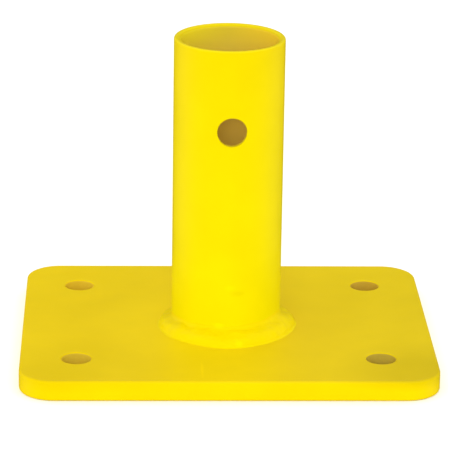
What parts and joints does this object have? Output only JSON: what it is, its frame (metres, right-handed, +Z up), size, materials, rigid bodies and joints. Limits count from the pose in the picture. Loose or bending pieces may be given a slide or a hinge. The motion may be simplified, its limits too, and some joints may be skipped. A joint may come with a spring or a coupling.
{
  "type": "steel safety bollard base",
  "caption": "Short open-topped steel bollard tube welded to a bolt-down plate, cross-drilled near the rim, in yellow powder coat.",
  "frame": {"origin": "centre of the base plate's underside, where it stands on the floor", "axes": "+Z up along the tube's axis, +X along the plate's width, and the tube's pin hole along Y, with -Y the side that faces the viewer"},
  "size_m": [0.1906, 0.1524, 0.1479],
  "materials": {
    "yellow_powder_coat": "satin"
  },
  "bodies": {
    "root": {"base_plate": "yellow_powder_coat", "post_tube": "yellow_powder_coat", "weld_bead": "yellow_powder_coat"}
  },
  "joints": []
}
